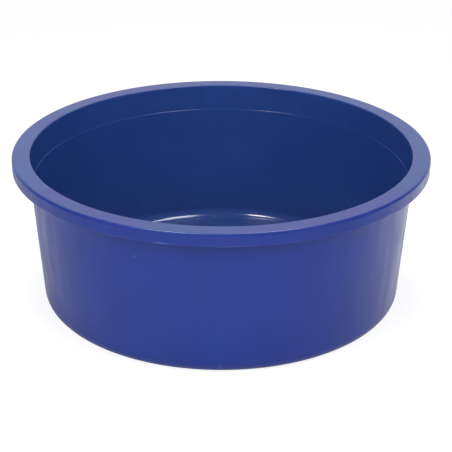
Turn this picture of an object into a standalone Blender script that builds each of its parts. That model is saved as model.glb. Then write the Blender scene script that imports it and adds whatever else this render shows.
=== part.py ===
"""A calf feed bowl, moulded in one piece: a tapered wall with a slight shoulder, and a hollow rim.

The origin is the centre of the standing ring, on the ground, with +Z up along the bowl's axis.
The bowl is a turned profile. Webs are fused to it under the rim, between wall and skirt.
"""

import math

import bpy
from mathutils import Vector

# Overall sizes, in metres
RIM_DIAMETER = 0.320
HEIGHT = 0.120

# Wall and floor, with the draft that lets the moulding leave its cavity
WALL = 0.003
FLOOR = 0.0025
WALL_DRAFT = math.radians(4.4)
BASE_RADIUS = 0.0097  # outside, where the wall turns into the floor
INNER_BASE_RADIUS = 0.008

# Shoulder: a slanted jog round the wall, below the mouth. The band above it opens out more.
SHOULDER_DEPTH = 0.0206  # from the rim's top to the shoulder's upper edge, inside
SHOULDER_WIDTH = 0.0007
SHOULDER_DROP = 0.0008
SHOULDER_LAG = 0.001  # how much lower it runs outside, so that the wall stays as thick
SHOULDER_ROUND = 0.0008  # inside
SHOULDER_BACK_ROUND = 0.0014
BAND_DRAFT = math.radians(6)

# Rim: a flat top that turns down into a skirt, hollow from below
RIM_WIDTH = 0.0138  # from the mouth to the outside
RIM_THICKNESS = 0.003
RIM_ROUND = 0.0009
MOUTH_ROUND = 0.0012
SKIRT_DEPTH = 0.010
SKIRT_THICKNESS = 0.0026
SKIRT_EDGE_ROUND = 0.0006
SKIRT_DRAFT = math.radians(0.8)
CHANNEL_ROUND = 0.0015

# Webs across the rim's channel
WEB_COUNT = 24
WEB_THICKNESS = 0.002
WEB_SETBACK = 0.0025  # from the skirt's lower edge up to the web's
WEB_DROP = 0.003  # how much lower a web ends at the wall than at the skirt
WEB_BITE = 0.001  # how far a web runs into the rim, the skirt and the wall

# Underside: the bowl stands on a ring, and the floor is raised inside it
RING_WIDTH = 0.0254
RING_RAMP = 0.005
RING_RECESS = 0.0015
GATE_DIAMETER = 0.012
GATE_DIMPLE = 0.0008

# Facets
TURN_STEPS = 96
ARC_ERROR = 0.00007  # most that a rounded corner's chord may stand off its arc
LEAST_TURN = math.radians(1)  # a corner that bends less stays sharp
SMOOTH_BELOW = math.radians(35)

BLUE = (0.016, 0.042, 0.246, 1.0)
ROUGHNESS = 0.42


def clear_scene() -> None:
    """Remove whatever the opened file holds."""
    for old in list(bpy.data.objects):
        bpy.data.objects.remove(old)


def rounded(before: Vector, corner: Vector, after: Vector, radius: float) -> list[Vector]:
    """Points of the arc that rounds a corner between two straight lines.

    Args:
        before: The corner before this one.
        corner: Where the two lines would meet, as radius and height.
        after: The corner after this one.
        radius: The arc's radius, or 0 for a sharp corner.
    """
    back = (before - corner).normalized()
    ahead = (after - corner).normalized()
    turn = math.pi - back.angle(ahead)
    if radius == 0 or turn < LEAST_TURN:
        return [corner]
    middle = corner + (back + ahead).normalized() * radius / math.cos(turn / 2)
    spoke = corner + back * radius * math.tan(turn / 2) - middle
    chord_turn = 2 * math.acos(1 - ARC_ERROR / radius)
    count = math.ceil(turn / chord_turn)
    way = math.copysign(turn / count, -back.cross(ahead))
    arc = []
    for i in range(count + 1):
        cos, sin = math.cos(i * way), math.sin(i * way)
        arc.append(middle + Vector((spoke.x * cos - spoke.y * sin, spoke.x * sin + spoke.y * cos)))
    return arc


def bowl_corners() -> list[tuple[float, float, float]]:
    """The profile's corners, each as radius, height and rounding.

    They run from the floor's centre up the inside, over the rim and down the outside.
    """
    slope = math.tan(WALL_DRAFT)
    band_slope = math.tan(BAND_DRAFT)
    across = WALL / math.cos(WALL_DRAFT)
    band_across = WALL / math.cos(BAND_DRAFT)

    shoulder_z = HEIGHT - SHOULDER_DEPTH
    foot_z = shoulder_z - SHOULDER_DROP
    skirt_z = HEIGHT - SKIRT_DEPTH
    channel_z = HEIGHT - RIM_THICKNESS

    rim = RIM_DIAMETER / 2
    mouth = rim - RIM_WIDTH
    band = mouth - SHOULDER_DEPTH * band_slope
    shoulder = band - SHOULDER_WIDTH
    base = shoulder - foot_z * slope + across
    skirt = rim - SKIRT_DEPTH * math.tan(SKIRT_DRAFT)
    ring = base - BASE_RADIUS - RING_WIDTH
    gate = GATE_DIAMETER / 2

    return [
        (0, FLOOR + RING_RECESS, 0),
        (ring - RING_RAMP, FLOOR + RING_RECESS, RING_RAMP),
        (ring, FLOOR, RING_RAMP),
        (base + FLOOR * slope - across, FLOOR, INNER_BASE_RADIUS),
        (shoulder, foot_z, SHOULDER_ROUND),
        (band, shoulder_z, SHOULDER_ROUND),
        (mouth, HEIGHT, MOUTH_ROUND),
        (rim, HEIGHT, RIM_ROUND),
        (skirt, skirt_z, SKIRT_EDGE_ROUND),
        (skirt - SKIRT_THICKNESS, skirt_z, SKIRT_EDGE_ROUND),
        (skirt - SKIRT_THICKNESS, channel_z, CHANNEL_ROUND),
        (mouth + band_across - RIM_THICKNESS * band_slope, channel_z, CHANNEL_ROUND),
        (band + band_across - SHOULDER_LAG * band_slope, shoulder_z - SHOULDER_LAG, SHOULDER_BACK_ROUND),
        (shoulder + across - SHOULDER_LAG * slope, foot_z - SHOULDER_LAG, SHOULDER_BACK_ROUND),
        (base, 0, BASE_RADIUS),
        (ring, 0, 0),
        (ring - RING_RAMP, RING_RECESS, 0),
        (gate, RING_RECESS, 0),
        (gate, RING_RECESS + GATE_DIMPLE, 0),
        (0, RING_RECESS + GATE_DIMPLE, 0),
    ]


def bowl_profile() -> list[Vector]:
    """The turned profile as points, with its corners rounded."""
    corners = bowl_corners()
    places = [Vector((r, z)) for r, z, _ in corners]
    points = [places[0]]
    for i in range(1, len(corners) - 1):
        points += rounded(places[i - 1], places[i], places[i + 1], corners[i][2])
    points.append(places[-1])
    return points


def make_bowl() -> bpy.types.Object:
    """Turn the profile about the upright axis."""
    points = bowl_profile()
    mesh = bpy.data.meshes.new("feeder_bowl")
    mesh.from_pydata(
        [(p.x, 0, p.y) for p in points],
        [(i, i + 1) for i in range(len(points) - 1)],
        [],
    )
    bowl = bpy.data.objects.new("feeder_bowl", mesh)
    bpy.context.collection.objects.link(bowl)

    turn = bowl.modifiers.new("turn", "SCREW")
    turn.axis = "Z"
    turn.steps = TURN_STEPS
    turn.render_steps = TURN_STEPS
    turn.use_merge_vertices = True
    turn.merge_threshold = 1e-6
    return bowl


def make_web(angle: float) -> tuple[list[Vector], list[tuple[int, ...]]]:
    """One web as a closed prism, set at an angle round the rim's channel."""
    lowest_wall = RIM_DIAMETER / 2 - RIM_WIDTH + WALL - SKIRT_DEPTH * math.tan(BAND_DRAFT)
    wall = lowest_wall - WEB_BITE
    skirt = RIM_DIAMETER / 2 - SKIRT_THICKNESS + WEB_BITE
    top = HEIGHT - RIM_THICKNESS + WEB_BITE
    foot = HEIGHT - SKIRT_DEPTH + WEB_SETBACK
    outline = [(wall, foot - WEB_DROP), (skirt, foot), (skirt, top), (wall, top)]

    out = Vector((math.cos(angle), math.sin(angle), 0))
    side = Vector((-out.y, out.x, 0)) * WEB_THICKNESS / 2
    points = []
    for hand in (-1, 1):
        points += [out * r + Vector((0, 0, z)) + side * hand for r, z in outline]
    faces = [(0, 1, 2, 3), (7, 6, 5, 4)]
    for i in range(4):
        ahead = (i + 1) % 4
        faces.append((i, i + 4, ahead + 4, ahead))
    return points, faces


def make_webs() -> bpy.types.Object:
    """All the webs in one helper object, evenly spaced round the rim."""
    points = []
    faces = []
    for i in range(WEB_COUNT):
        web_points, web_faces = make_web(math.tau * i / WEB_COUNT)
        faces += [tuple(len(points) + corner for corner in face) for face in web_faces]
        points += web_points
    mesh = bpy.data.meshes.new("rim_webs")
    mesh.from_pydata(points, [], faces)
    webs = bpy.data.objects.new("rim_webs", mesh)
    bpy.context.collection.objects.link(webs)
    webs.hide_render = True
    webs.display_type = "WIRE"
    return webs


def fuse(bowl: bpy.types.Object, webs: bpy.types.Object) -> None:
    """Join the webs to the bowl, as they are moulded, and keep the result as the bowl's own mesh."""
    join = bowl.modifiers.new("webs", "BOOLEAN")
    join.operation = "UNION"
    join.solver = "EXACT"
    join.object = webs

    bpy.context.view_layer.update()
    whole = bowl.evaluated_get(bpy.context.evaluated_depsgraph_get())
    mesh = bpy.data.meshes.new_from_object(whole)
    bowl.modifiers.clear()
    bowl.data = mesh
    mesh.shade_smooth()
    mesh.set_sharp_from_angle(angle=SMOOTH_BELOW)
    bpy.data.objects.remove(webs)


def blue_plastic() -> bpy.types.Material:
    """Satin dark blue plastic, coloured all through."""
    material = bpy.data.materials.new("blue_plastic")
    material.use_nodes = True
    shader = material.node_tree.nodes["Principled BSDF"]
    shader.inputs["Base Color"].default_value = BLUE
    shader.inputs["Roughness"].default_value = ROUGHNESS
    shader.inputs["Metallic"].default_value = 0
    material.diffuse_color = BLUE
    return material


def main() -> None:
    """Build the feeder."""
    clear_scene()
    bowl = make_bowl()
    fuse(bowl, make_webs())
    bowl.data.materials.clear()
    bowl.data.materials.append(blue_plastic())


main()
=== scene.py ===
"""A calf feed bowl in dark blue moulded plastic, on a white floor in soft studio light.

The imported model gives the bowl's place and its outer sizes. The bowl that shows is turned again
from a finer profile, with the same wall, floor, webs and standing ring. Its shoulder is slighter
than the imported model's, the outer corner of its rim is rounder, and its gate has a nub.
Lengths are in metres, +Z is up, and the origin is the centre of the standing ring.
"""

import logging
import math
from dataclasses import dataclass, field
from enum import Enum

import bpy
from mathutils import Matrix, Vector

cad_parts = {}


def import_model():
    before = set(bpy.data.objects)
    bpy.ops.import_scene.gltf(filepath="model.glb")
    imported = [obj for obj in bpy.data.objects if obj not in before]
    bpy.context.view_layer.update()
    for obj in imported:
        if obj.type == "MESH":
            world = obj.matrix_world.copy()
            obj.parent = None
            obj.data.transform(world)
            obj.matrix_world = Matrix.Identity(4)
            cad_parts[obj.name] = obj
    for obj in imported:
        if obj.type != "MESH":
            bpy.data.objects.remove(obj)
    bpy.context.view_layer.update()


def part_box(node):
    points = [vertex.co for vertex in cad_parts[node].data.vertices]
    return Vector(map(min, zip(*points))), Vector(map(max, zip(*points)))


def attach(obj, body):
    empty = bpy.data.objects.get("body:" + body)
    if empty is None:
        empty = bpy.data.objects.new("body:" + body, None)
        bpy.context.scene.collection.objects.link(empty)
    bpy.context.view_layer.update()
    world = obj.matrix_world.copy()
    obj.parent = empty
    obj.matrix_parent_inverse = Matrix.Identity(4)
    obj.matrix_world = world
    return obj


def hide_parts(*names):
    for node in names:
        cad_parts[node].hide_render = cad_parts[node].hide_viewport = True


log = logging.getLogger("feed_bowl")

Colour = tuple[float, float, float]
Setting = float | int | bool | tuple | bpy.types.NodeSocket

WHITE = (1.0, 1.0, 1.0, 1.0)
BLACK = (0.0, 0.0, 0.0, 1.0)
MM = 0.001
WELD_GAP = 1e-6  # points closer together than this become one


def opaque(colour: Colour) -> tuple[float, float, float, float]:
    """The colour with full alpha."""
    return (*colour, 1.0)


def add_object(name: str, data: bpy.types.ID) -> bpy.types.Object:
    """Put a new object into the scene.

    Args:
        name: The object's name.
        data: Its mesh, curve, lamp or camera.

    Returns:
        The object.
    """
    thing = bpy.data.objects.new(name, data)
    bpy.context.scene.collection.objects.link(thing)
    return thing


@dataclass(frozen=True)
class Span:
    """The two values between which something changes smoothly."""

    low: float
    high: float


@dataclass(frozen=True)
class Tree:
    """Short ways to add nodes to one node tree and to join them."""

    tree: bpy.types.NodeTree

    @classmethod
    def emptied(cls, owner: bpy.types.World | bpy.types.Material) -> "Tree":
        """Empty the nodes of a world or a material.

        Args:
            owner: The world or material.

        Returns:
            Its tree, with no node in it.
        """
        owner.use_nodes = True
        owner.node_tree.nodes.clear()
        return cls(owner.node_tree)

    def add(
        self, kind: str, inputs: dict[int | str, Setting] | None = None, **options: object
    ) -> bpy.types.Node:
        """Add a node.

        Args:
            kind: The node's type name.
            inputs: What each input takes, by name or number: another node's output, or a value.
            options: The node's own properties.

        Returns:
            The node.
        """
        node = self.tree.nodes.new(kind)
        for name, option in options.items():
            setattr(node, name, option)
        for place, setting in (inputs or {}).items():
            if isinstance(setting, bpy.types.NodeSocket):
                self.tree.links.new(setting, node.inputs[place])
            else:
                node.inputs[place].default_value = setting
        return node

    def math(self, operation: str, first: Setting, second: Setting = 0.0) -> bpy.types.NodeSocket:
        """One sum on numbers."""
        return self.add("ShaderNodeMath", {0: first, 1: second}, operation=operation).outputs[0]

    def vector(self, operation: str, first: Setting, second: Setting = (0, 0, 0)) -> bpy.types.Node:
        """One sum on vectors."""
        return self.add("ShaderNodeVectorMath", {0: first, 1: second}, operation=operation)

    def scale(self, vector: Setting, factor: Setting) -> bpy.types.NodeSocket:
        """A vector or a colour times a number."""
        inputs = {0: vector, "Scale": factor}
        return self.add("ShaderNodeVectorMath", inputs, operation="SCALE").outputs[0]

    def ramp(
        self, value: Setting, span: Span, start: Setting = 0.0, end: Setting = 1.0
    ) -> bpy.types.NodeSocket:
        """Carry a value smoothly from one range to another, clamped at both ends.

        Args:
            value: What is carried.
            span: Where the smooth way starts and ends.
            start: The result at its low end.
            end: The result at its high end.

        Returns:
            The result's socket.
        """
        inputs = {
            "Value": value,
            "From Min": span.low,
            "From Max": span.high,
            "To Min": start,
            "To Max": end,
        }
        return self.add("ShaderNodeMapRange", inputs, interpolation_type="SMOOTHSTEP").outputs[0]

    def mix(self, share: Setting, first: Setting, second: Setting) -> bpy.types.NodeSocket:
        """Go from the first colour to the second as the share goes from 0 to 1."""
        return self.add("ShaderNodeMix", {0: share, 6: first, 7: second}, data_type="RGBA").outputs[2]

    def pick(self, share: Setting, first: Setting, second: Setting) -> bpy.types.NodeSocket:
        """Go from the first number to the second as the share goes from 0 to 1."""
        return self.add("ShaderNodeMix", {0: share, 2: first, 3: second}, data_type="FLOAT").outputs[0]

    def noise(self, place: Setting, size: float, detail: float = 2.0) -> bpy.types.NodeSocket:
        """Soft noise from 0 to 1, whose lumps are about as large as the size given."""
        inputs = {"Vector": place, "Scale": 1 / size, "Detail": detail}
        return self.add("ShaderNodeTexNoise", inputs).outputs[0]

    def rays(self) -> tuple[bpy.types.NodeSocket, bpy.types.NodeSocket]:
        """Tell apart the rays that reach a surface.

        Returns:
            Whether a ray comes straight from the camera, and whether by gloss or through glass.
        """
        path = self.add("ShaderNodeLightPath").outputs
        mirrored = self.math("MAXIMUM", path["Is Glossy Ray"], path["Is Transmission Ray"])
        return path["Is Camera Ray"], mirrored


@dataclass(frozen=True)
class ProductCamera:
    """The camera at the photograph's angle, from above the front."""

    picture_side: int = 452
    focal_pixels: float = 1447.9
    sensor: float = 36.0  # in millimetres, as Blender's camera takes it
    distance: float = 1.0382  # in front of the bowl's axis
    height: float = 0.5253
    pitch_down: float = math.radians(24.436)
    yaw_right: float = math.radians(0.208)
    roll: float = math.radians(0.182)

    def build(self) -> None:
        """Make the camera and give it to the scene."""
        data = bpy.data.cameras.new("product_camera")
        data.sensor_width = self.sensor
        data.lens = self.focal_pixels / self.picture_side * self.sensor
        camera = add_object("product_camera", data)
        turn = Matrix.Rotation(-self.yaw_right, 4, "Z")
        tilt = Matrix.Rotation(math.pi / 2 - self.pitch_down, 4, "X")
        lean = Matrix.Rotation(self.roll, 4, "Z")
        camera.matrix_world = Matrix.Translation((0, -self.distance, self.height)) @ turn @ tilt @ lean
        bpy.context.scene.camera = camera


class Gloss(Enum):
    """Whether a lamp shows in glossy surfaces."""

    SHOWS = True
    HIDDEN = False


class Aim(Enum):
    """Which way a lamp shines."""

    DOWN = "down"
    BOWL = "bowl"


@dataclass(frozen=True)
class SoftBox:
    """A softly shining panel."""

    name: str
    place: tuple[float, float, float]
    width: float
    depth: float
    power: float
    aim: Aim = Aim.DOWN
    gloss: Gloss = Gloss.SHOWS

    def build(self) -> None:
        """Hang the panel and turn its face the way it shines."""
        data = bpy.data.lights.new(self.name, "AREA")
        data.shape = "RECTANGLE"
        data.size = self.width
        data.size_y = self.depth
        data.energy = self.power
        box = add_object(self.name, data)
        place = Vector(self.place)
        box.matrix_world = Matrix.Translation(place)
        if self.aim is Aim.BOWL:
            box.matrix_world @= place.to_track_quat("Z", "Y").to_matrix().to_4x4()
        box.visible_camera = False
        box.visible_glossy = self.gloss.value


@dataclass(frozen=True)
class Studio:
    """The white surround, the pale floor and the soft boxes."""

    top_level: float = 0.12  # of the surround's soft light from overhead
    left_level: float = 0.2  # and from the height of the bowl
    right_level: float = 0.15
    side_span: Span = Span(-1.0, 1.0)  # from left to right, as a ray's direction
    rise_span: Span = Span(0.05, 0.5)  # from the bowl's height to overhead
    room_gleam: float = 0.06  # how bright the room behind the camera looks in gloss
    backdrop_span: Span = Span(0.35, 0.85)  # from the room back to the white backdrop

    floor_side: float = 12.0
    seen_floor: Colour = (0.38, 0.38, 0.38)
    lit_floor: Colour = (0.85, 0.85, 0.85)  # as soft light takes it, which leaves it pale
    floor_glow: float = 0.82  # what the floor adds where the camera sees it
    white_span: Span = Span(0.4, 1.0)  # how far out the floor turns evenly white to the eye
    near_gleam: float = 0.10  # what it adds in gloss, in front of the bowl
    left_gleam: float = 0.55  # and beside and behind it
    right_gleam: float = 1.0
    gleam_sides: Span = Span(-0.2, 0.2)  # from left to right
    gleam_depth: Span = Span(-0.25, 0.10)  # from front to back

    boxes: tuple[SoftBox, ...] = (
        SoftBox("soft_box_left", (-0.18, -0.04, 0.75), 0.10, 0.20, 1.8),
        SoftBox("soft_box_right", (0.15, 0.16, 0.75), 0.13, 0.28, 1.7),
        SoftBox("fill_left", (-0.66, -0.84, 0.72), 0.80, 0.60, 6.7, Aim.BOWL, Gloss.HIDDEN),
        SoftBox("fill_right", (0.78, -0.71, 0.72), 0.80, 0.60, 6.3, Aim.BOWL, Gloss.HIDDEN),
        SoftBox("fill_low", (-0.10, -1.30, 0.14), 0.90, 0.20, 1.8, Aim.BOWL, Gloss.HIDDEN),
    )

    def light_surround(self) -> None:
        """Make the world white to the eye, white behind the bowl in gloss, and soft for the rest."""
        world = bpy.data.worlds.new("white_surround")
        tree = Tree.emptied(world)
        seen, mirrored = tree.rays()
        way = tree.add("ShaderNodeTexCoord").outputs["Generated"]
        axes = tree.add("ShaderNodeSeparateXYZ", {0: way}).outputs
        backdrop = tree.ramp(axes["Y"], self.backdrop_span, self.room_gleam, 1.0)
        side_level = tree.ramp(axes["X"], self.side_span, self.left_level, self.right_level)
        soft_level = tree.ramp(axes["Z"], self.rise_span, side_level, self.top_level)
        level = tree.pick(mirrored, soft_level, backdrop)
        level = tree.pick(seen, level, 1.0)
        shine = tree.add("ShaderNodeBackground", {"Color": WHITE, "Strength": level})
        tree.add("ShaderNodeOutputWorld", {"Surface": shine.outputs[0]})
        bpy.context.scene.world = world

    def floor_paint(self) -> bpy.types.Material:
        """Pale matt paint that reads white and still takes the bowl's shadow.

        Returns:
            The floor's material.
        """
        paint = bpy.data.materials.new("pale_floor")
        tree = Tree.emptied(paint)
        seen, mirrored = tree.rays()
        spot = tree.add("ShaderNodeTexCoord").outputs["Object"]
        axes = tree.add("ShaderNodeSeparateXYZ", {0: spot}).outputs
        away = tree.vector("LENGTH", spot).outputs["Value"]

        far = tree.ramp(away, self.white_span)
        seen_colour = tree.mix(far, opaque(self.seen_floor), BLACK)
        either = tree.math("MAXIMUM", seen, mirrored)
        colour = tree.mix(either, opaque(self.lit_floor), seen_colour)
        matt = tree.add("ShaderNodeBsdfDiffuse", {"Color": colour})

        far_gleam = tree.ramp(axes["X"], self.gleam_sides, self.left_gleam, self.right_gleam)
        gleam = tree.ramp(axes["Y"], self.gleam_depth, self.near_gleam, far_gleam)
        strength = tree.math("MULTIPLY", mirrored, gleam)
        eye_glow = tree.ramp(away, self.white_span, self.floor_glow, 1.0)
        strength = tree.pick(seen, strength, eye_glow)
        glow = tree.add("ShaderNodeEmission", {"Color": WHITE, "Strength": strength})
        both = tree.add("ShaderNodeAddShader", {0: matt.outputs[0], 1: glow.outputs[0]})
        tree.add("ShaderNodeOutputMaterial", {"Surface": both.outputs[0]})
        return paint

    def lay_floor(self) -> bpy.types.Object:
        """Lay the flat floor under the bowl.

        Returns:
            The floor.
        """
        reach = self.floor_side / 2
        mesh = bpy.data.meshes.new("studio_floor")
        corners = [(-reach, -reach, 0), (reach, -reach, 0), (reach, reach, 0), (-reach, reach, 0)]
        mesh.from_pydata(corners, [], [(0, 1, 2, 3)])
        mesh.materials.append(self.floor_paint())
        return add_object("studio_floor", mesh)

    def build(self) -> None:
        """Set up the floor and all the light."""
        self.light_surround()
        self.lay_floor()
        for box in self.boxes:
            box.build()


# Colours of the marks
SCUFF: Colour = (0.25, 0.30, 0.60)
CHALK: Colour = (0.25, 0.35, 0.60)
SPECK: Colour = (0.0, 0.0, 0.05)
# A painted highlight, for spots where the skirt's lower edge catches light
GLINT_SPOT: Colour = (0.26, 0.34, 0.80)


@dataclass(frozen=True)
class Mark:
    """A small light or dark mark, most of them left by use; the ones on the skirt's lower edge are painted
    highlights.
    """

    spot: tuple[float, float, float]  # in millimetres, as are the width and the height
    colour: Colour
    share: float
    width: float
    height: float
    soft_edge: Span = Span(0.4, 1.0)  # where it fades out, as a share of its size

    def paint(
        self, tree: Tree, spot: bpy.types.NodeSocket, colour: bpy.types.NodeSocket
    ) -> bpy.types.NodeSocket:
        """Lay the mark over a colour, with a soft edge.

        Args:
            tree: The material's nodes.
            spot: Where a point of the surface lies.
            colour: The colour before the mark.

        Returns:
            The marked colour's socket.
        """
        away = tree.vector("SUBTRACT", spot, tuple(place * MM for place in self.spot)).outputs[0]
        size = (self.width * MM, self.width * MM, self.height * MM)
        scaled = tree.vector("DIVIDE", away, size).outputs[0]
        distance = tree.vector("LENGTH", scaled).outputs["Value"]
        cover = tree.ramp(distance, self.soft_edge, self.share, 0.0)
        return tree.mix(cover, colour, opaque(self.colour))


@dataclass(frozen=True)
class Regions:
    """Where a point of the bowl's surface lies, and how far it belongs to each region, 0 to 1."""

    spot: bpy.types.NodeSocket
    radius: bpy.types.NodeSocket
    height: bpy.types.NodeSocket
    is_outside: bpy.types.NodeSocket
    is_rim: bpy.types.NodeSocket
    is_floor: bpy.types.NodeSocket


@dataclass(frozen=True)
class MouldedBlue:
    """Satin dark blue plastic, coloured through, glossier inside than outside; its inside and rim top carry
    painted light in their colours.
    """

    outside: Colour = (0.0128, 0.0355, 0.266)
    # The inside and the rim top are the one plastic coloured apart from the outside, as painted light: less
    # blue as painted shade, greyer as a painted sheen
    inside: Colour = (0.0190, 0.0530, 0.222)
    rim_top_as_lit: Colour = (0.016, 0.053, 0.240)
    rim_tint: Colour = (0.022, 0.038, 0.235)
    tint_size: float = 0.060
    tint_span: Span = Span(0.4, 0.6)

    # What parts the regions: how far a face looks outwards, down or up, from -1 to 1, and its height
    outside_facing: Span = Span(0.1, 0.6)
    rim_facing: Span = Span(0.3, 0.8)
    rim_height: Span = Span(0.116, 0.1185)
    floor_facing: Span = Span(0.97, 1.0)
    floor_height: Span = Span(0.005, 0.01)

    # A painted highlight along the skirt's lower outer edge, broken up here and there, where the edge's
    # rounding catches light
    skirt_glint: Colour = (0.30, 0.36, 0.60)
    skirt_glint_height: float = 0.1109
    skirt_glint_reach: Span = Span(0.00035, 0.0007)  # from the painted highlight's middle line out to its edges
    skirt_glint_radius: Span = Span(0.1590, 0.1593)  # only the skirt's outside lies this far out
    skirt_glint_share: float = 0.05
    skirt_glint_length: float = 0.030
    skirt_glint_stretches: Span = Span(0.45, 0.65)
    # Paler and greyer towards the bottom inside: dust, and a painted sheen that stands in for gloss
    dust_and_sheen: Colour = (0.45, 0.47, 0.50)
    dust_and_sheen_share: float = 0.020
    dust_and_sheen_height: Span = Span(0.0, 0.070)
    floor_shade: float = 0.84  # painted shade: the inside of the floor is painted a little darker

    mottle_size: float = 0.030
    mottle_depth: float = 0.04
    streak_width: float = 0.007
    streak_stretch: float = 5.0
    streak_depth: float = 0.025
    tone_span: Span = Span(0.3, 0.7)
    patch_width: float = 0.012
    patch_stretch: float = 4.0
    patch_depth: float = 0.05
    patch_span: Span = Span(0.35, 0.65)

    rough_outside: float = 0.34
    rough_inside: float = 0.10
    rough_floor: float = 0.35
    rough_rim: float = 0.30
    grain_size: float = 0.0007
    grain_height: float = 0.00002
    ior: float = 1.5
    marks: tuple[Mark, ...] = (
        Mark((-59.7, -133.0, 91.0), SCUFF, 0.30, 1.1, 1.1),
        Mark((-0.7, -139.3, 7.2), SCUFF, 0.30, 0.9, 2.0),
        Mark((-5.5, 131.6, 2.5), CHALK, 0.12, 2.0, 2.0),
        Mark((-71.9, -125.0, 70.8), SPECK, 0.30, 0.9, 1.8),
        # Painted highlights on the skirt's lower edge, at the front left and the front right
        Mark((-41.0, -154.3, 111.0), GLINT_SPOT, 0.22, 8.0, 0.7),
        Mark((117.4, -107.0, 111.0), GLINT_SPOT, 0.15, 6.0, 0.7),
    )

    def find_regions(self, tree: Tree) -> Regions:
        """Tell apart the outside, the rim's top and the inside of the floor.

        Args:
            tree: The material's nodes.

        Returns:
            The sockets for a point's place and its regions.
        """
        place = tree.add("ShaderNodeTexCoord")
        spot = place.outputs["Object"]
        facing = place.outputs["Normal"]
        level = tree.vector("MULTIPLY", spot, (1, 1, 0)).outputs[0]
        radial = tree.vector("NORMALIZE", level).outputs[0]
        outward = tree.vector("DOT_PRODUCT", facing, radial).outputs["Value"]
        height = tree.add("ShaderNodeSeparateXYZ", {0: spot}).outputs["Z"]
        upward = tree.add("ShaderNodeSeparateXYZ", {0: facing}).outputs["Z"]
        downward = tree.math("MULTIPLY", upward, -1.0)

        at_rim = tree.ramp(height, self.rim_height)
        at_floor = tree.ramp(height, self.floor_height, 1.0, 0.0)
        return Regions(
            spot=spot,
            radius=tree.vector("LENGTH", level).outputs["Value"],
            height=height,
            is_outside=tree.ramp(tree.math("MAXIMUM", outward, downward), self.outside_facing),
            is_rim=tree.math("MULTIPLY", at_rim, tree.ramp(upward, self.rim_facing)),
            is_floor=tree.math("MULTIPLY", tree.ramp(upward, self.floor_facing), at_floor),
        )

    def drawn_out(
        self, tree: Tree, spot: bpy.types.NodeSocket, width: float, stretch: float
    ) -> bpy.types.NodeSocket:
        """Noise that is drawn out upright, as the mould's polish and the flow of plastic leave it.

        Args:
            tree: The material's nodes.
            spot: Where a point of the surface lies.
            width: How wide the lumps are.
            stretch: How many times taller than wide they are.

        Returns:
            The noise's socket.
        """
        squeezed = tree.vector("MULTIPLY", spot, (1, 1, 1 / stretch)).outputs[0]
        return tree.noise(squeezed, width)

    def paint_skirt_glint(
        self, tree: Tree, where: Regions, colour: bpy.types.NodeSocket
    ) -> bpy.types.NodeSocket:
        """Paint a highlight on the skirt's lower outer edge here and there, where its rounding catches
        light.

        Args:
            tree: The material's nodes.
            where: A point's place and regions.
            colour: The colour before the painted highlight.

        Returns:
            The colour's socket, with the painted highlight.
        """
        away = tree.math("ABSOLUTE", tree.math("SUBTRACT", where.height, self.skirt_glint_height))
        line = tree.ramp(away, self.skirt_glint_reach, 1.0, 0.0)
        outer = tree.ramp(where.radius, self.skirt_glint_radius)
        stretches = tree.noise(where.spot, self.skirt_glint_length, detail=3.0)
        glinting = tree.ramp(stretches, self.skirt_glint_stretches)
        share = tree.math("MULTIPLY", tree.math("MULTIPLY", line, outer), glinting)
        return tree.mix(tree.math("MULTIPLY", share, self.skirt_glint_share), colour, opaque(self.skirt_glint))

    def paint_colour(self, tree: Tree, where: Regions) -> bpy.types.NodeSocket:
        """Colour each region, and lay over it dust with a painted sheen, a painted highlight on the skirt's
        edge, and marks, two of them painted highlights.

        Args:
            tree: The material's nodes.
            where: A point's place and regions.

        Returns:
            The colour's socket.
        """
        tint = tree.ramp(tree.noise(where.spot, self.tint_size, detail=1.0), self.tint_span)
        rim_colour = tree.mix(tint, opaque(self.rim_top_as_lit), opaque(self.rim_tint))
        # Dust and painted sheen, towards the bottom inside
        dust_and_sheen = tree.ramp(where.height, self.dust_and_sheen_height, self.dust_and_sheen_share, 0.0)
        colour = tree.mix(dust_and_sheen, opaque(self.inside), opaque(self.dust_and_sheen))
        colour = tree.mix(where.is_outside, colour, opaque(self.outside))
        colour = tree.mix(where.is_rim, colour, rim_colour)
        # Painted highlight along the skirt's lower edge
        colour = self.paint_skirt_glint(tree, where, colour)
        for mark in self.marks:
            colour = mark.paint(tree, where.spot, colour)
        return colour

    def vary_tone(self, tree: Tree, where: Regions) -> bpy.types.NodeSocket:
        """How much lighter or darker the plastic is at a point, as a factor on its colour, with painted
        shade on the inside of the floor.

        Args:
            tree: The material's nodes.
            where: A point's place and regions.

        Returns:
            The factor's socket.
        """
        mottle = tree.noise(where.spot, self.mottle_size, detail=4.0)
        tone = tree.ramp(mottle, self.tone_span, 1 - self.mottle_depth, 1 + self.mottle_depth)
        streak = self.drawn_out(tree, where.spot, self.streak_width, self.streak_stretch)
        streak_tone = tree.ramp(streak, self.tone_span, 1 - self.streak_depth, 1 + self.streak_depth)
        streak_tone = tree.pick(where.is_outside, 1.0, streak_tone)
        tone = tree.math("MULTIPLY", tone, streak_tone)
        # Painted shade darkens the inside of the floor
        return tree.math("MULTIPLY", tone, tree.pick(where.is_floor, 1.0, self.floor_shade))

    def vary_roughness(self, tree: Tree, where: Regions) -> bpy.types.NodeSocket:
        """Make the inside glossy and the outside satin in uneven patches.

        Args:
            tree: The material's nodes.
            where: A point's place and regions.

        Returns:
            The roughness's socket.
        """
        patch = self.drawn_out(tree, where.spot, self.patch_width, self.patch_stretch)
        glossiest = self.rough_outside - self.patch_depth
        dullest = self.rough_outside + self.patch_depth
        patchy = tree.ramp(patch, self.patch_span, glossiest, dullest)
        inside = tree.pick(where.is_floor, self.rough_inside, self.rough_floor)
        rough = tree.pick(where.is_outside, inside, patchy)
        return tree.pick(where.is_rim, rough, self.rough_rim)

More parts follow.
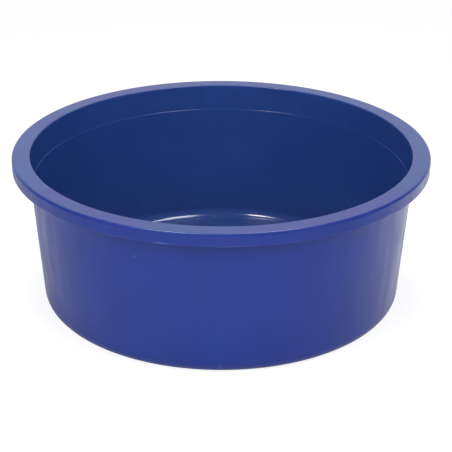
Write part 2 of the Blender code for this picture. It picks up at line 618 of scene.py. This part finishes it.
    def build(self) -> bpy.types.Material:
        """Make the material.

        Returns:
            The bowl's material.
        """
        finish = bpy.data.materials.new("moulded_blue")
        tree = Tree.emptied(finish)
        where = self.find_regions(tree)
        colour = tree.scale(self.paint_colour(tree, where), self.vary_tone(tree, where))
        rough = self.vary_roughness(tree, where)
        grain = tree.noise(where.spot, self.grain_size)
        bump = tree.add("ShaderNodeBump", {"Height": grain, "Distance": self.grain_height, "Strength": 1.0})
        inputs = {"Base Color": colour, "Roughness": rough, "Normal": bump.outputs[0], "IOR": self.ior}
        shader = tree.add("ShaderNodeBsdfPrincipled", inputs)
        tree.add("ShaderNodeOutputMaterial", {"Surface": shader.outputs[0]})
        return finish


@dataclass(frozen=True)
class Corner:
    """A corner of the turned profile, and how far it is rounded."""

    radius: float
    height: float
    rounding: float = 0.0

    @property
    def spot(self) -> Vector:
        """The corner's place as radius and height."""
        return Vector((self.radius, self.height))


@dataclass(frozen=True)
class Arcs:
    """How finely the profile is drawn."""

    step: float = math.radians(9)
    least_turn: float = math.radians(1)  # a corner that bends less stays sharp
    fewest_chords: int = 2
    hold: float = 0.4 * MM  # from an arc's end to the point that keeps the flat beside it flat
    shortest: float = 1.6 * MM  # a straight run shorter than this gets no points
    longest: float = 9.0 * MM  # between two points of a straight run

    def rounded(self, before: Vector, corner: Corner, after: Vector) -> list[Vector]:
        """Points of the arc that rounds a corner between two straight lines.

        Args:
            before: Where the line that comes in starts.
            corner: The corner.
            after: Where the line that goes on ends.

        Returns:
            The arc's points, or the corner itself where it stays sharp.
        """
        back = (before - corner.spot).normalized()
        ahead = (after - corner.spot).normalized()
        turn = math.pi - back.angle(ahead)
        if corner.rounding == 0 or turn < self.least_turn:
            return [corner.spot]
        middle = corner.spot + (back + ahead).normalized() * corner.rounding / math.cos(turn / 2)
        spoke = corner.spot + back * corner.rounding * math.tan(turn / 2) - middle
        count = max(self.fewest_chords, math.ceil(turn / self.step))
        way = math.copysign(turn / count, -back.cross(ahead))
        return [middle + Matrix.Rotation(i * way, 2) @ spoke for i in range(count + 1)]

    def straight(self, start: Vector, end: Vector) -> list[Vector]:
        """Points between the ends of a straight run, near both ends and not too far apart.

        Args:
            start: Where the run starts.
            end: Where it ends.

        Returns:
            The points, or none on a short run.
        """
        length = (end - start).length
        if length < self.shortest:
            return []
        count = max(1, math.ceil((length - 2 * self.hold) / self.longest))
        first, last = self.hold / length, 1 - self.hold / length
        return [start.lerp(end, first + (last - first) * i / count) for i in range(count + 1)]

    def draw(self, corners: list[Corner]) -> list[Vector]:
        """Draw the whole profile.

        Args:
            corners: Its corners in order.

        Returns:
            Its points, from the first corner to the last.
        """
        runs = [[corners[0].spot]]
        for before, corner, after in zip(corners, corners[1:], corners[2:]):
            runs.append(self.rounded(before.spot, corner, after.spot))
        runs.append([corners[-1].spot])
        points = list(runs[0])
        for run in runs[1:]:
            points += self.straight(points[-1], run[0]) + run
        return points


@dataclass(frozen=True)
class FeedBowl:
    """The bowl: one moulding of floor, wall, shoulder, rim with skirt and webs, and standing ring."""

    rim_radius: float
    rim_height: float
    finish: MouldedBlue = field(default_factory=MouldedBlue)

    wall: float = 3.0 * MM
    floor: float = 2.5 * MM
    wall_slope: float = math.tan(math.radians(4.4))
    base_round: float = 9.7 * MM
    inner_base_round: float = 8.0 * MM

    shoulder_depth: float = 20.6 * MM
    shoulder_width: float = 0.20 * MM
    shoulder_drop: float = 0.16 * MM
    shoulder_lag: float = 1.0 * MM  # how much lower it runs outside
    shoulder_round: float = 0.20 * MM
    back_spread: float = 3.0 * MM  # how far it is drawn out each way on the outside
    back_round: float = 15.0 * MM
    band_slope: float = math.tan(math.radians(6))

    rim_width: float = 13.8 * MM
    rim_thickness: float = 3.0 * MM
    rim_round: float = 2.0 * MM
    mouth_round: float = 1.2 * MM
    skirt_depth: float = 10.0 * MM
    skirt_slope: float = math.tan(math.radians(0.8))
    skirt_thickness: float = 2.6 * MM
    skirt_edge_round: float = 0.6 * MM
    channel_round: float = 1.5 * MM

    web_count: int = 24
    web_thickness: float = 2.0 * MM
    web_setback: float = 2.5 * MM  # from the skirt's lower edge up to the web's
    web_drop: float = 3.0 * MM  # how much lower a web ends at the wall than at the skirt
    web_bite: float = 1.0 * MM  # how far a web runs into the rim, the skirt and the wall

    ring_width: float = 25.4 * MM
    ring_ramp: float = 5.0 * MM
    ring_recess: float = 1.5 * MM
    ring_edge_round: float = 0.5 * MM
    gate_radius: float = 6.0 * MM
    gate_dimple: float = 0.8 * MM
    nub_radius: float = 1.3 * MM
    nub_height: float = 0.5 * MM
    gate_round: float = 0.2 * MM

    path_radius: float = 1.0  # of the circle that the profile is swept along
    turn_steps: int = 240
    uneven_size: float = 45.0 * MM
    uneven_depth: float = 0.25 * MM
    even_above: float = 95.0 * MM  # from here up the unevenness fades away
    even_fade: float = 10.0 * MM  # over this height
    smooth_below: float = math.radians(35)

    def corners(self) -> list[Corner]:
        """Work out the profile's corners from the bowl's sizes.

        Returns:
            The corners, from the floor's centre up the inside, over the rim and down the outside.
        """
        shoulder_z = self.rim_height - self.shoulder_depth
        skirt_z = self.rim_height - self.skirt_depth
        channel_z = self.rim_height - self.rim_thickness

        mouth = self.rim_radius - self.rim_width
        band = mouth - self.shoulder_depth * self.band_slope
        shoulder = band - self.shoulder_width
        foot_z = shoulder_z - self.shoulder_drop
        across = self.wall * math.hypot(1, self.wall_slope)
        band_across = self.wall * math.hypot(1, self.band_slope)
        base = shoulder - foot_z * self.wall_slope + across
        skirt = self.rim_radius - self.skirt_depth * self.skirt_slope
        ring = base - self.base_round - self.ring_width
        inner_base = base + self.floor * self.wall_slope - across
        dimple_z = self.ring_recess + self.gate_dimple
        upper_lag = self.shoulder_lag - self.back_spread
        lower_lag = self.shoulder_lag + self.back_spread
        channel = mouth + band_across - self.rim_thickness * self.band_slope
        upper_back = band + band_across - upper_lag * self.band_slope
        lower_back = shoulder + across - lower_lag * self.wall_slope

        return [
            Corner(0, self.floor + self.ring_recess),
            Corner(ring - self.ring_ramp, self.floor + self.ring_recess, self.ring_ramp),
            Corner(ring, self.floor, self.ring_ramp),
            Corner(inner_base, self.floor, self.inner_base_round),
            Corner(shoulder, foot_z, self.shoulder_round),
            Corner(band, shoulder_z, self.shoulder_round),
            Corner(mouth, self.rim_height, self.mouth_round),
            Corner(self.rim_radius, self.rim_height, self.rim_round),
            Corner(skirt, skirt_z, self.skirt_edge_round),
            Corner(skirt - self.skirt_thickness, skirt_z, self.skirt_edge_round),
            Corner(skirt - self.skirt_thickness, channel_z, self.channel_round),
            Corner(channel, channel_z, self.channel_round),
            Corner(upper_back, shoulder_z - upper_lag, self.back_round),
            Corner(lower_back, foot_z - lower_lag, self.back_round),
            Corner(base, 0, self.base_round),
            Corner(ring, 0, self.ring_edge_round),
            Corner(ring - self.ring_ramp, self.ring_recess, self.ring_edge_round),
            Corner(self.gate_radius, self.ring_recess, self.gate_round),
            Corner(self.gate_radius, dimple_z, self.gate_round),
            Corner(self.nub_radius, dimple_z, self.gate_round),
            Corner(self.nub_radius, dimple_z - self.nub_height, self.gate_round),
            Corner(0, dimple_z - self.nub_height),
        ]

    def draw_profile(self) -> bpy.types.Object:
        """Draw the profile as a curve for the turning tree, which takes x outwards and y downwards.

        Returns:
            The curve's object.
        """
        points = Arcs().draw(self.corners())
        data = bpy.data.curves.new("bowl_profile", "CURVE")
        data.dimensions = "3D"
        line = data.splines.new("POLY")
        line.points.add(len(points) - 1)
        for point, spot in zip(line.points, points):
            point.co = (spot.x, -spot.y, 0, 1)
        return add_object("bowl_profile", data)

    def shape_web(self) -> bpy.types.Object:
        """Make one web as a closed plate that lies across the channel at +X.

        Returns:
            The web.
        """
        lowest_wall = self.rim_radius - self.rim_width + self.wall - self.skirt_depth * self.band_slope
        wall = lowest_wall - self.web_bite
        skirt = self.rim_radius - self.skirt_thickness + self.web_bite
        top = self.rim_height - self.rim_thickness + self.web_bite
        foot = self.rim_height - self.skirt_depth + self.web_setback
        outline = [(wall, foot - self.web_drop), (skirt, foot), (skirt, top), (wall, top)]

        half = self.web_thickness / 2
        corners = [(r, side * half, z) for side in (-1, 1) for r, z in outline]
        count = len(outline)
        faces = [tuple(range(count)), tuple(reversed(range(count, 2 * count)))]
        for i in range(count):
            ahead = (i + 1) % count
            faces.append((i, i + count, ahead + count, ahead))
        mesh = bpy.data.meshes.new("rim_web")
        mesh.from_pydata(corners, [], faces)
        return add_object("rim_web", mesh)

    def turn_profile(self, tree: Tree, given: bpy.types.NodeOutputs) -> bpy.types.NodeSocket:
        """Sweep the profile round the upright axis.

        The circle is wider than the bowl, so that it never shrinks to a point, and the profile is
        moved in by its radius, which brings x = 0 to the axis.

        Args:
            tree: The turning tree's nodes.
            given: The tree's inputs.

        Returns:
            The closed shell's socket.
        """
        profile = tree.add("GeometryNodeObjectInfo", {"Object": given["Profile"]})
        round_way = {"Resolution": given["Turn Steps"], "Radius": given["Path Radius"]}
        circle = tree.add("GeometryNodeCurvePrimitiveCircle", round_way)
        path = tree.add("GeometryNodeSetCurveNormal", {"Curve": circle.outputs["Curve"]}, mode="Z_UP")
        shift = tree.vector("MULTIPLY", (-1, 0, 0), given["Path Radius"]).outputs[0]
        move = {"Geometry": profile.outputs["Geometry"], "Translation": shift}
        inwards = tree.add("GeometryNodeTransform", move)
        sweep = {"Curve": path.outputs["Curve"], "Profile Curve": inwards.outputs["Geometry"]}
        swept = tree.add("GeometryNodeCurveToMesh", sweep)
        merge = {"Geometry": swept.outputs["Mesh"], "Distance": WELD_GAP}
        return tree.add("GeometryNodeMergeByDistance", merge).outputs["Geometry"]

    def spread_webs(self, tree: Tree, given: bpy.types.NodeOutputs) -> bpy.types.NodeSocket:
        """Set the webs evenly round the rim.

        Args:
            tree: The turning tree's nodes.
            given: The tree's inputs.

        Returns:
            The webs' socket.
        """
        centres = tree.add("GeometryNodePoints", {"Count": given["Web Count"]})
        web = tree.add("GeometryNodeObjectInfo", {"Object": given["Web"]})
        number = tree.add("GeometryNodeInputIndex")
        turn = tree.math("DIVIDE", number.outputs[0], given["Web Count"])
        angle = tree.math("MULTIPLY", turn, math.tau)
        turned = tree.add("FunctionNodeAxisAngleToRotation", {"Axis": (0, 0, 1), "Angle": angle})
        spread = {
            "Points": centres.outputs["Points"],
            "Instance": web.outputs["Geometry"],
            "Rotation": turned.outputs["Rotation"],
        }
        rows = tree.add("GeometryNodeInstanceOnPoints", spread)
        real = {"Geometry": rows.outputs["Instances"]}
        return tree.add("GeometryNodeRealizeInstances", real).outputs["Geometry"]

    def make_uneven(
        self, tree: Tree, given: bpy.types.NodeOutputs, mesh: bpy.types.NodeSocket
    ) -> bpy.types.NodeSocket:
        """Draw the wall in a little here and there below the shoulder, as it cools unevenly.

        Args:
            tree: The turning tree's nodes.
            given: The tree's inputs.
            mesh: The even bowl.

        Returns:
            The uneven bowl's socket.
        """
        place = tree.add("GeometryNodeInputPosition").outputs[0]
        lumps = tree.noise(tree.vector("DIVIDE", place, given["Uneven Size"]).outputs[0], size=1.0)
        height = tree.add("ShaderNodeSeparateXYZ", {0: place}).outputs["Z"]
        over = tree.math("SUBTRACT", height, given["Even Above"])
        settled = tree.math("DIVIDE", over, given["Even Fade"])
        lumps_left = tree.ramp(settled, Span(0, 1), lumps, 0.0)
        share = tree.math("MULTIPLY", given["Uneven Share"], lumps_left)
        inwards = tree.vector("MULTIPLY", place, (-1, -1, 0)).outputs[0]
        moved = {"Geometry": mesh, "Offset": tree.scale(inwards, share)}
        return tree.add("GeometryNodeSetPosition", moved).outputs["Geometry"]

    def crease(
        self, tree: Tree, given: bpy.types.NodeOutputs, mesh: bpy.types.NodeSocket
    ) -> bpy.types.NodeSocket:
        """Shade the bowl smooth and keep its sharp edges sharp.

        Args:
            tree: The turning tree's nodes.
            given: The tree's inputs.
            mesh: The flat-shaded bowl.

        Returns:
            The shaded bowl's socket.
        """
        all_faces = {"Geometry": mesh, "Shade Smooth": True}
        smooth = tree.add("GeometryNodeSetShadeSmooth", all_faces, domain="FACE")
        bend = tree.add("GeometryNodeInputMeshEdgeAngle").outputs["Unsigned Angle"]
        is_sharp = tree.math("GREATER_THAN", bend, given["Sharp Above"])
        sharp_edges = {
            "Geometry": smooth.outputs["Geometry"],
            "Selection": is_sharp,
            "Shade Smooth": False,
        }
        return tree.add("GeometryNodeSetShadeSmooth", sharp_edges, domain="EDGE").outputs["Geometry"]

    def turning_tree(self) -> bpy.types.GeometryNodeTree:
        """Node tree that turns the profile about the upright axis and fuses the webs to it.

        Returns:
            The tree, with named inputs.
        """
        group = bpy.data.node_groups.new("turned_bowl", "GeometryNodeTree")
        inputs = {
            "Profile": "NodeSocketObject",
            "Path Radius": "NodeSocketFloat",
            "Turn Steps": "NodeSocketInt",
            "Web": "NodeSocketObject",
            "Web Count": "NodeSocketInt",
            "Sharp Above": "NodeSocketFloat",
            "Uneven Size": "NodeSocketFloat",
            "Uneven Share": "NodeSocketFloat",
            "Even Above": "NodeSocketFloat",
            "Even Fade": "NodeSocketFloat",
            "Finish": "NodeSocketMaterial",
        }
        group.interface.new_socket(name="Geometry", in_out="INPUT", socket_type="NodeSocketGeometry")
        for name, kind in inputs.items():
            group.interface.new_socket(name=name, in_out="INPUT", socket_type=kind)
        group.interface.new_socket(name="Geometry", in_out="OUTPUT", socket_type="NodeSocketGeometry")

        tree = Tree(group)
        given = tree.add("NodeGroupInput").outputs
        parts = (self.turn_profile(tree, given), self.spread_webs(tree, given))
        joined = tree.add("GeometryNodeMeshBoolean", operation="UNION", solver="EXACT")
        for part in parts:
            group.links.new(part, joined.inputs["Mesh 2"])
        uneven = self.make_uneven(tree, given, joined.outputs["Mesh"])
        creased = self.crease(tree, given, uneven)
        real = tree.add("GeometryNodeRealizeInstances", {"Geometry": creased})
        dress = {"Geometry": real.outputs["Geometry"], "Material": given["Finish"]}
        dressed = tree.add("GeometryNodeSetMaterial", dress)
        tree.add("NodeGroupOutput", {"Geometry": dressed.outputs["Geometry"]})
        return group

    def build(self) -> bpy.types.Object:
        """Turn the bowl, keep the result as a plain mesh and put it in the model's place.

        Returns:
            The bowl.
        """
        profile = self.draw_profile()
        web = self.shape_web()
        group = self.turning_tree()
        bowl = add_object("feed_bowl_moulding", bpy.data.meshes.new("feed_bowl_moulding"))
        turning = bowl.modifiers.new("turning", "NODES")
        turning.node_group = group
        values = {
            "Profile": profile,
            "Path Radius": self.path_radius,
            "Turn Steps": self.turn_steps,
            "Web": web,
            "Web Count": self.web_count,
            "Sharp Above": self.smooth_below,
            "Uneven Size": self.uneven_size,
            "Uneven Share": self.uneven_depth / self.rim_radius,
            "Even Above": self.even_above,
            "Even Fade": self.even_fade,
            "Finish": self.finish.build(),
        }
        for socket in group.interface.items_tree:
            if socket.name in values:
                turning[socket.identifier] = values[socket.name]

        bpy.context.view_layer.update()
        whole = bowl.evaluated_get(bpy.context.evaluated_depsgraph_get())
        mesh = bpy.data.meshes.new_from_object(whole)
        bowl.modifiers.clear()
        bowl.data = mesh
        # Nothing reaches below the ground, not even by rounding
        for vertex in mesh.vertices:
            vertex.co.z = max(0.0, vertex.co.z)
        for helper in (profile, web):
            bpy.data.objects.remove(helper)

        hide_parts("feeder_bowl")
        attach(bowl, "root")
        return bowl


def main() -> None:
    """Build the camera, the studio and the bowl."""
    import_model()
    ProductCamera().build()
    studio = Studio()
    studio.build()
    log.info("studio: floor, white surround and %d lamps", len(studio.boxes))
    low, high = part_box("feeder_bowl")
    bowl = FeedBowl(rim_radius=high.x, rim_height=high.z - low.z).build()
    log.info("%s: %d faces", bowl.name, len(bowl.data.polygons))

    bpy.context.scene.view_settings.view_transform = "Standard"


if __name__ == "__main__":
    logging.basicConfig(level=logging.INFO, format="%(name)s %(message)s")
    main()
